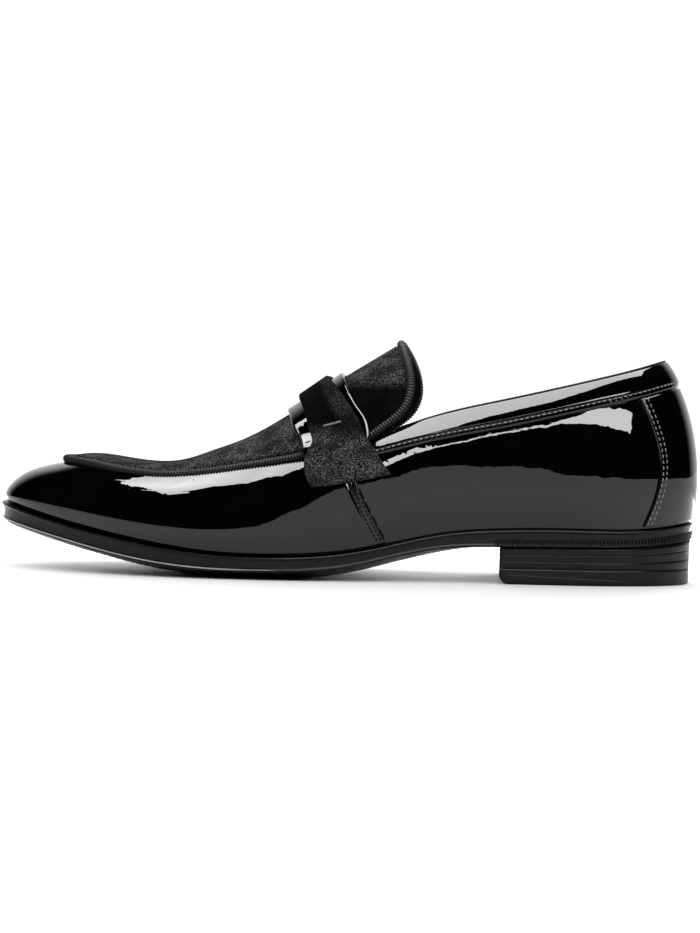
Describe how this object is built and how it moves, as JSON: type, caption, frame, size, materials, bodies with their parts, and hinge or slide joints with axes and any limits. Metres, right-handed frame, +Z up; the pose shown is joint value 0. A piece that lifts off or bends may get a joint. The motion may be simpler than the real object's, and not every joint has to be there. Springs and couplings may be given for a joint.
{
  "type": "moc toe loafer",
  "caption": "Left slip-on dress loafer with a smooth glossy upper, a corded moc toe plug and tongue, an instep strap, a thin sole and a low stacked heel.",
  "frame": {"origin": "centre of the footprint box, on the floor", "axes": "+Z up, -X towards the toe, -Y towards the lateral side"},
  "size_m": [0.3059, 0.105, 0.1022],
  "materials": {
    "patent_leather": "black patent, mirror gloss",
    "velvet": "black velvet, short nap",
    "piping_cord": "black ribbed cord and thread, dull",
    "sole_rubber": "black satin rubber",
    "lining": "black smooth lining leather, matt"
  },
  "bodies": {
    "root": {"outsole": "sole_rubber", "heel_block": "sole_rubber", "heel_top_lift": "sole_rubber", "insole": "lining", "upper": "patent_leather", "vamp_plug": "velvet", "plug_piping": "piping_cord", "saddle_band": "patent_leather", "strap": "velvet", "collar_band": "patent_leather", "heel_counter": "patent_leather"}
  },
  "joints": []
}
